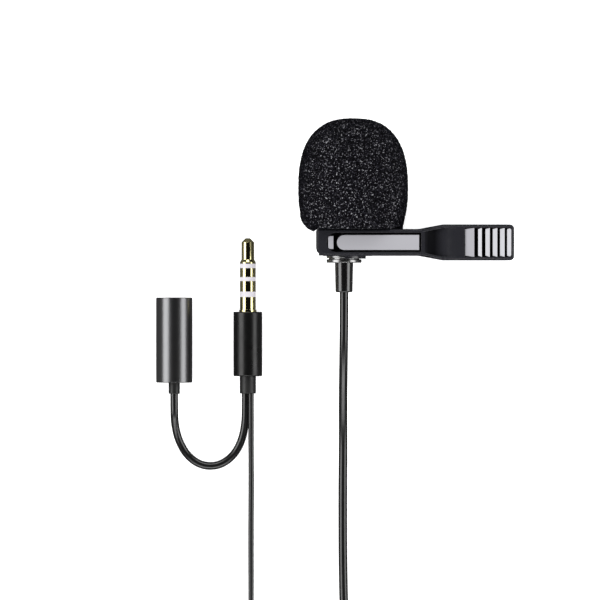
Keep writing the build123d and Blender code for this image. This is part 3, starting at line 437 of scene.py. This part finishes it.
def strap_line():
    """The strap's middle line, as places outwards from the coil's centre and up from the floor. It
    goes once round the bundle of turns, and on over its own start."""
    inner = COIL_OUTER_R - (COIL_COLUMNS - 1) * COIL_PITCH - MIC_CORD_D / 2 - STRAP_GAP - STRAP_T / 2
    outer = COIL_OUTER_R + MIC_CORD_D / 2 + STRAP_GAP + STRAP_T / 2
    low = STRAP_T / 2
    high = COIL_TOP + MIC_CORD_D / 2 + STRAP_GAP + STRAP_T / 2
    corners = [(outer, high, 0), (outer, low, -90), (inner, low, 180), (inner, high, 90)]
    middle = (inner + outer) / 2
    line = [(middle - STRAP_OVERLAP / 2, high)]
    for across, up, last in corners:
        centre_across = across - math.copysign(STRAP_CORNER, across - middle)
        centre_up = up - math.copysign(STRAP_CORNER, up - (low + high) / 2)
        for back in range(90, -1, -STRAP_STEP):
            angle = math.radians(last + back)
            line.append((centre_across + STRAP_CORNER * math.cos(angle),
                         centre_up + STRAP_CORNER * math.sin(angle)))
    overlap_start = middle - STRAP_OVERLAP / 2 - STRAP_RISE
    for share in np.linspace(0, 1, 9):
        lift = (STRAP_T + STRAP_PLY_GAP) * min(1, share * 4)
        line.append((overlap_start + share * (STRAP_OVERLAP + STRAP_RISE), high + lift))
    return line


def make_strap(material):
    """A flat rubber strap, closed over the bundle at the coil's near side."""
    line = [Vector((0, -across, up)) for across, up in strap_line()]
    mesh = bmesh.new()
    rows = []
    for index, point in enumerate(line):
        ahead = line[min(index + 1, len(line) - 1)] - line[max(index - 1, 0)]
        out = ahead.cross(Vector((1, 0, 0))).normalized() * STRAP_T / 2
        row = []
        for side, face in ((-1, 1), (1, 1), (1, -1), (-1, -1)):
            place = point + Vector((side * STRAP_W / 2, 0, 0)) + out * face
            row.append(mesh.verts.new(placed(COIL_X + place.x, COIL_Y + place.y, place.z)))
        rows.append(row)
    for row, after in zip(rows, rows[1:]):
        for i in range(4):
            mesh.faces.new((row[i], row[(i + 1) % 4], after[(i + 1) % 4], after[i]))
    mesh.faces.new(rows[0])
    mesh.faces.new(rows[-1])
    bmesh.ops.recalc_face_normals(mesh, faces=mesh.faces)
    data = bpy.data.meshes.new("coil_strap")
    mesh.to_mesh(data)
    mesh.free()
    data.polygons.foreach_set("use_smooth", [True] * len(data.polygons))
    data.set_sharp_from_angle(angle=SHARP)
    data.materials.append(material)
    strap = put(bpy.data.objects.new("coil_strap", data), "microphone")
    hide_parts("coil_tie")


# ---------------------------------------------------------------- windscreen
FOAM_X = 2.0                     # mm, the foam sits off the microphone's axis
FOAM_R = 12.13
FOAM_WAIST = 12.0                # height of its widest place above the clip's centre line
FOAM_RISE = 15.4                 # from there to the crown
FOAM_DROP = 14.6                 # what its lower half would reach if it weren't cut off
FOAM_POWER = 2.5
FOAM_MOUTH = 2.98
FOAM_CORNER = 0.8                # radius between its side and its mouth
# Beside the holder the foam bulges down in a larger corner. A pair of numbers below is where a
# change begins and where it is complete.
FOAM_LEFT_CORNER = 4.2
FOAM_LEFT_MIDDLE = (7.55, 6.45)  # that corner's middle, as radius and height
FOAM_LEFT_ACROSS = (-8.2, -8.35)
FOAM_LEFT_SPREAD = 0.7           # radians to each side
FOAM_SAG = 1.2                   # how far its edge hangs down between the levers
FOAM_SAG_BELOW = (5.2, 3.6)
FOAM_SAG_ACROSS = (4.2, 4.6)
FOAM_SAG_DEPTH = (3.4, 3.1)
FOAM_BORE_R = 4.0
FOAM_BORE_TOP = 15.2
FOAM_CELLS = 7000
CELL_SHAKE = 0.3                 # how far cells are moved, in cell widths
CELL_RIDGE = 0.14                # depth of the ridges between cells, at most
CELL_LIP = (0.08, 0.2)           # depth of a cell's lip
CELL_PIT = 0.4                   # depth of a cell
CELL_UNEVEN = (0.75, 1.25)       # its share of that depth
CELL_OPEN = 0.66                 # how much of a cell's width is open
# The painted glint lines along the foam's struts
GLINT_LINE_SCALE = 1900               # struts a metre, about
GLINT_LINE_WIDTH = 0.1
FOAM_GLOSS = 0.05
FOAM_SEED = 7


def foam_outline():
    """Radius and height along the foam's outline, from its crown over its side and its mouth's
    rounded edge, across the mouth and up the bore to its blind end."""
    angles = np.linspace(0, math.pi / 2, 90)
    rounding = 2 / FOAM_POWER
    upper = [(FOAM_R * math.sin(a) ** rounding, FOAM_WAIST + FOAM_RISE * math.cos(a) ** rounding)
             for a in angles]
    corner_y = FOAM_MOUTH + FOAM_CORNER
    lower = [(FOAM_R * (1 - ((FOAM_WAIST - y) / FOAM_DROP) ** FOAM_POWER) ** (1 / FOAM_POWER), y)
             for y in np.linspace(FOAM_WAIST, corner_y, 40)[1:]]
    corner_r = lower[-1][0] - FOAM_CORNER
    corner = [(corner_r + FOAM_CORNER * math.cos(a), corner_y - FOAM_CORNER * math.sin(a))
              for a in angles[1:]]
    mouth = [(r, FOAM_MOUTH) for r in np.linspace(corner_r, FOAM_BORE_R, 20)[1:]]
    bore = [(FOAM_BORE_R, y) for y in np.linspace(FOAM_MOUTH, FOAM_BORE_TOP, 20)[1:]]
    end = [(r, FOAM_BORE_TOP) for r in np.linspace(FOAM_BORE_R, 0, 10)[1:]]
    return np.array(upper + lower + corner + mouth + bore + end)


def ramp(start, end, values):
    """0 up to start and 1 from end on, with a straight slope between."""
    return np.clip((values - start) / (end - start), 0, 1)


class FoamShape:
    """Carries directions on a sphere to places on the foam, with equal areas."""

    def __init__(self):
        self.line = foam_outline()
        steps = np.diff(self.line, axis=0)
        lengths = np.hypot(steps[:, 0], steps[:, 1])
        middle_r = (self.line[1:, 0] + self.line[:-1, 0]) / 2
        area = np.concatenate([[0], np.cumsum(lengths * middle_r)])
        self.share = area / area[-1]
        tangents = steps / lengths[:, None]
        normals = np.stack([-tangents[:, 1], tangents[:, 0]], axis=1)
        self.normals = np.vstack([normals[:1], (normals[1:] + normals[:-1]) / 2, normals[-1:]])

    def place(self, directions, depth):
        """Points in metres on the foam, depth mm under its skin, for unit directions."""
        share = (1 - directions[:, 1]) / 2
        r, y, nr, ny = (
            np.interp(share, self.share, column)
            for column in (self.line[:, 0], self.line[:, 1], self.normals[:, 0], self.normals[:, 1])
        )
        r = r - nr * depth
        y = y - ny * depth
        turn = np.arctan2(directions[:, 2], directions[:, 0])
        # The lower edge is a large round corner on the left, beside the holder
        x, z = r * np.cos(turn), r * np.sin(turn)
        middle_r, middle_y = FOAM_LEFT_MIDDLE
        away_r, away_y = r - middle_r, y - middle_y
        pull = (FOAM_LEFT_CORNER - depth) / np.maximum(np.hypot(away_r, away_y), 1) - 1
        beside = np.exp(-((np.abs(turn) - math.pi) / FOAM_LEFT_SPREAD) ** 4)
        left = ramp(*FOAM_LEFT_ACROSS, x) * beside * (away_y < 0) * (away_r > 0)
        r = r + left * pull * away_r
        y = y + left * pull * away_y
        # and hangs down on the right, between the levers
        sag = ramp(*FOAM_SAG_BELOW, y) * ramp(*FOAM_SAG_ACROSS, x) * ramp(*FOAM_SAG_DEPTH, np.abs(z))
        y = y - sag * FOAM_SAG
        return np.stack([
            MIC_X + (FOAM_X + r * np.cos(turn)) * MM, CLIP_Y + y * MM, MIC_Z + r * np.sin(turn) * MM,
        ], axis=1)


def scattered_directions(count, rng):
    """Unit directions spread evenly on a sphere, then shaken."""
    index = np.arange(count) + 0.5
    y = 1 - 2 * index / count
    turn = math.pi * (1 + 5**0.5) * index
    r = np.sqrt(1 - y * y)
    even = np.stack([r * np.cos(turn), y, r * np.sin(turn)], axis=1)
    shaken = even + rng.normal(0, CELL_SHAKE * math.sqrt(4 * math.pi / count), even.shape)
    return shaken / np.linalg.norm(shaken, axis=1)[:, None]


def cell_rings(directions):
    """Corner directions of the cells round the given points, and each cell's ring of corners."""
    hull = bmesh.new()
    points = [hull.verts.new(d) for d in directions]
    bmesh.ops.convex_hull(hull, input=points, use_existing_faces=False)
    bmesh.ops.triangulate(hull, faces=hull.faces)
    hull.faces.index_update()
    corners = np.array([f.calc_center_median().normalized() for f in hull.faces])
    rings = []
    for point in hull.verts:
        if not point.link_faces:
            continue
        loop = first = point.link_loops[0]
        ring = []
        while True:
            ring.append(loop.face.index)
            loop = loop.link_loop_prev.link_loop_radial_next
            if loop == first:
                break
        rings.append(ring)
    hull.free()
    return corners, rings


def make_foam():
    """Open-cell foam: every cell is a pit between struts, all in one closed skin."""
    rng = np.random.default_rng(FOAM_SEED)
    shape = FoamShape()
    corners, rings = cell_rings(scattered_directions(FOAM_CELLS, rng))
    ridge = shape.place(corners, rng.uniform(0.0, CELL_RIDGE, len(corners)))
    mesh = bmesh.new()
    ridge_verts = [mesh.verts.new(p) for p in ridge]
    lip_directions, floor_directions = [], []
    for ring in rings:
        around = corners[ring]
        centre = around.mean(axis=0)
        lip_directions.append(centre + (around - centre) * CELL_OPEN)
        floor_directions.append(centre[None, :])

    def under_skin(groups, depths):
        """Place each cell's directions at its own depth, and make their vertices."""
        counts = [len(g) for g in groups]
        flat = np.vstack(groups)
        flat /= np.linalg.norm(flat, axis=1)[:, None]
        placed_points = shape.place(flat, np.repeat(depths, counts))
        verts = iter([mesh.verts.new(p) for p in placed_points])
        return [[next(verts) for _ in range(count)] for count in counts]

    lips = under_skin(lip_directions, rng.uniform(*CELL_LIP, len(rings)))
    floors = under_skin(floor_directions, rng.uniform(*CELL_UNEVEN, len(rings)) * CELL_PIT)
    for ring, lip, floor in zip(rings, lips, floors):
        count = len(ring)
        for i in range(count):
            j = (i + 1) % count
            mesh.faces.new((ridge_verts[ring[i]], ridge_verts[ring[j]], lip[j], lip[i]))
            mesh.faces.new((lip[i], lip[j], floor[0]))
    bmesh.ops.recalc_face_normals(mesh, faces=mesh.faces)
    data = bpy.data.meshes.new("foam")
    mesh.to_mesh(data)
    mesh.free()
    data.polygons.foreach_set("use_smooth", [True] * len(data.polygons))
    data.materials.append(foam_material())
    foam = put(bpy.data.objects.new("foam", data), "windscreen")
    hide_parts("foam_windscreen")


def foam_material():
    """Dark foam with painted glints: its struts are painted as short crooked light lines and dots, brighter
    towards its top as painted light.
    """
    made = surface("foam", (0.003, 0.003, 0.004), 0.5, Specular_IOR_Level=FOAM_GLOSS)
    # Painted glints: light lines along the struts, broken into short pieces
    lines = texture(made, "ShaderNodeTexNoise", GLINT_LINE_SCALE, Detail=1)
    away = calculated(made, "ABSOLUTE", calculated(made, "SUBTRACT", lines.outputs["Fac"], 0.5))
    glint_line_mask = ranged(made, away, GLINT_LINE_WIDTH, 0.0, 0.0, 1.0)
    gaps = texture(made, "ShaderNodeTexNoise", GLINT_LINE_SCALE * 1.3, Detail=1)
    broken = ranged(made, gaps.outputs["Fac"], 0.36, 0.66, 0.0, 1.0)
    height = places(made)[2]
    # Painted light: the glints are brighter on the foam's upper side, where the light falls
    face = ranged(made, height, MIC_Z + 1.5 * MM, MIC_Z + 7 * MM, 0.65, 1.0)
    painted_glints = calculated(made, "MULTIPLY", calculated(made, "MULTIPLY", glint_line_mask, broken), face)
    shades(made, painted_glints, [
        (0.0, (0.0006, 0.0005, 0.0012)), (0.25, (0.004, 0.004, 0.006)), (0.6, (0.02, 0.019, 0.026)),
        (0.88, (0.28, 0.28, 0.29)),
    ])
    fine = texture(made, "ShaderNodeTexNoise", 5000, Detail=1)
    relief(made, fine.outputs["Fac"], 0.02 * MM)
    return made


# ---------------------------------------------------------------- studio
def softbox(name, direction, distance, size, radiance):
    """A soft light that looks at the object from a direction. radiance is in watts per m2 and sr."""
    data = bpy.data.lights.new(name, "AREA")
    data.shape = "RECTANGLE"
    data.size, data.size_y = size
    data.energy = radiance * math.pi * size[0] * size[1]
    light = bpy.data.objects.new(name, data)
    aim = placed(*VIEW_CENTRE, VIEW_PLANE)
    back = Vector(direction).normalized()
    light.location = aim + back * distance
    light.rotation_mode = "QUATERNION"
    light.rotation_quaternion = back.to_track_quat("Z", "Y")
    light.visible_camera = False
    bpy.context.scene.collection.objects.link(light)


def leaning(degrees, turn):
    """The direction that leans by so many degrees from straight up, towards a compass turn."""
    lean, turn = math.radians(degrees), math.radians(turn)
    return (math.sin(lean) * math.cos(turn), math.sin(lean) * math.sin(turn), math.cos(lean))


def mix_by_mirror(tree, seen, mirrored, output):
    """Show one shader to mirror rays, and the other to everything else."""
    rays = tree.nodes.new("ShaderNodeLightPath")
    mix = tree.nodes.new("ShaderNodeMixShader")
    tree.links.new(rays.outputs["Is Glossy Ray"], mix.inputs["Fac"])
    tree.links.new(seen, mix.inputs[1])
    tree.links.new(mirrored, mix.inputs[2])
    tree.links.new(mix.outputs["Shader"], tree.nodes[output].inputs["Surface"])


def make_studio():
    scene = bpy.context.scene
    scene.view_settings.view_transform = "Standard"
    softbox("key_left", leaning(56, 180), 0.8, (0.8, 0.54), 2.9)
    softbox("key_right", leaning(61, 0), 0.8, (0.8, 0.48), 2.6)
    softbox("rim_top", leaning(56, 90), 0.9, (1.2, 0.4), 2.6)
    softbox("rim_front", leaning(56, -90), 0.9, (1.2, 0.4), 3.2)
    # The room is pale, but dim in mirror images
    world = bpy.data.worlds.new("room")
    scene.world = world
    world.use_nodes = True
    pale = world.node_tree.nodes["Background"]
    pale.inputs["Color"].default_value = (0.9, 0.91, 0.92, 1)
    pale.inputs["Strength"].default_value = 1.15
    dim = world.node_tree.nodes.new("ShaderNodeBackground")
    dim.inputs["Color"].default_value = (0.005, 0.005, 0.0055, 1)
    mix_by_mirror(world.node_tree, pale.outputs["Background"], dim.outputs["Background"], "World Output")


def make_floor():
    mesh = bmesh.new()
    bmesh.ops.create_grid(mesh, x_segments=1, y_segments=1, size=4)
    data = bpy.data.meshes.new("floor")
    mesh.to_mesh(data)
    mesh.free()
    paint = surface("floor_white", (0.9, 0.9, 0.9), 0.9, Specular_IOR_Level=0.1, Emission_Color=(1, 1, 1, 1),
                    Emission_Strength=0.4)
    # It is lit brighter than white, so its mirror image is dimmed
    grey = paint.node_tree.nodes.new("ShaderNodeBsdfDiffuse")
    grey.inputs["Color"].default_value = (0.07, 0.07, 0.07, 1)
    white = paint.node_tree.nodes["Principled BSDF"].outputs["BSDF"]
    mix_by_mirror(paint.node_tree, white, grey.outputs["BSDF"], "Material Output")
    data.materials.append(paint)
    floor = bpy.data.objects.new("floor", data)
    floor.location.z = -0.02 * MM
    bpy.context.scene.collection.objects.link(floor)


# ---------------------------------------------------------------- the scene
make_camera()
materials = make_materials()
dress_frame(materials)
make_strap(materials["coil_tie"])
make_cords(materials["mic_lead"])
make_foam()
make_studio()
make_floor()
